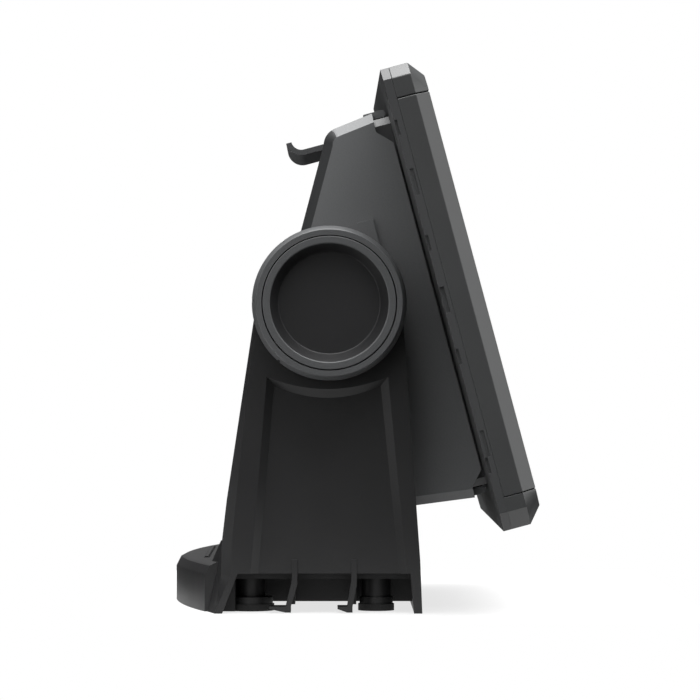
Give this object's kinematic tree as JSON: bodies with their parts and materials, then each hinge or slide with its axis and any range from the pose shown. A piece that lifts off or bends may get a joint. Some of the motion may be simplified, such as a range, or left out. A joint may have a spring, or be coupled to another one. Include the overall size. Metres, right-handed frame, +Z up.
{
  "type": "chartplotter display",
  "caption": "Wide-screen chartplotter docked in a quick-release tilting cradle on a U-shaped bail mount with large side clamp knobs.",
  "frame": {"origin": "centre of the four deck screw holes, on the plane of the underside that rests on the deck", "axes": "+Z up; the screen faces -Y and leans back 15 degrees at rest; +X to the right of someone facing the screen"},
  "size_m": [0.292, 0.1598, 0.236],
  "materials": {
    "trim_plastic": "fine moulded grain",
    "case_plastic": "fine moulded grain",
    "cradle_plastic": "moulded grain",
    "bail_plastic": "moulded glass-filled nylon",
    "knob_plastic": "moulded grain",
    "lever_plastic": "moulded grain",
    "inner_plastic": "moulded",
    "cover_glass": "bonded, black border",
    "lcd": "dark panel",
    "rubber": "moulded rubber",
    "board": "solder-masked laminate",
    "ceramic": "fired patch",
    "aluminium": "pressed sheet",
    "steel": "turned stainless",
    "brass": "turned"
  },
  "bodies": {
    "bail": {"bail_bracket": "bail_plastic", "deck_pads_front": "rubber", "deck_pads_rear": "rubber", "pivot_bush_left": "inner_plastic", "pivot_bush_right": "inner_plastic", "knob_washer_left": "inner_plastic", "knob_washer_right": "inner_plastic"},
    "display_head": {"side_trim_left": "trim_plastic", "side_trim_right": "trim_plastic", "top_trim": "trim_plastic", "bottom_trim": "trim_plastic", "bezel_frame": "inner_plastic", "cover_glass": "cover_glass", "lcd_panel": "lcd", "rear_case": "case_plastic", "case_gasket": "rubber", "main_board": "board", "heat_spreader": "aluminium", "gps_antenna": "ceramic", "case_screws": "steel", "dock_plug": "inner_plastic", "vent_plug": "rubber", "card_reader": "steel", "door_pin": "steel", "key_switch": "inner_plastic", "cradle_shell": "cradle_plastic", "cradle_plate": "cradle_plastic", "cradle_screws": "steel", "dock_socket": "inner_plastic", "dock_seal": "rubber", "power_socket": "inner_plastic", "data_sockets": "inner_plastic", "socket_contacts": "brass", "lever_pin": "steel", "lever_spring": "steel", "pivot_insert_left": "brass", "pivot_insert_right": "brass", "friction_pad_left": "rubber", "friction_pad_right": "rubber"},
    "knob_left": {"knob_ring_left": "knob_plastic", "knob_cap_left": "knob_plastic", "knob_stud_left": "steel"},
    "knob_right": {"knob_ring_right": "knob_plastic", "knob_cap_right": "knob_plastic", "knob_stud_right": "steel"},
    "release_lever": {"release_lever": "lever_plastic"},
    "power_key": {"power_key": "rubber"},
    "card_door": {"card_door": "case_plastic"}
  },
  "joints": [
    {"name": "tilt", "type": "hinge", "parent": "bail", "child": "display_head", "pos_m": [0, -0.007, 0.134], "axis": [-1, 0, 0], "range_deg": [-15, 35]},
    {"name": "knob_left_turn", "type": "hinge", "parent": "bail", "child": "knob_left", "pos_m": [-0.12, -0.007, 0.134], "axis": [-1, 0, 0], "continuous": true},
    {"name": "knob_right_turn", "type": "hinge", "parent": "bail", "child": "knob_right", "pos_m": [0.12, -0.007, 0.134], "axis": [1, 0, 0], "continuous": true},
    {"name": "lever_press", "type": "hinge", "parent": "display_head", "child": "release_lever", "pos_m": [0, -0.01582, 0.20541], "axis": [-1, 0, 0], "range_deg": [0, 12], "stiffness_Nm_per_rad": 0.4, "springref_deg": -14.32},
    {"name": "power_key_press", "type": "slide", "parent": "display_head", "child": "power_key", "axis": [0, 0.9659, -0.2588], "range_m": [0, 0.0007], "stiffness_N_per_m": 2500, "springref_m": -0.0004},
    {"name": "card_door_swing", "type": "hinge", "parent": "display_head", "child": "card_door", "pos_m": [0.1202, -0.03897, 0.20054], "axis": [0, -0.2588, -0.9659], "range_deg": [0, 100]}
  ]
}
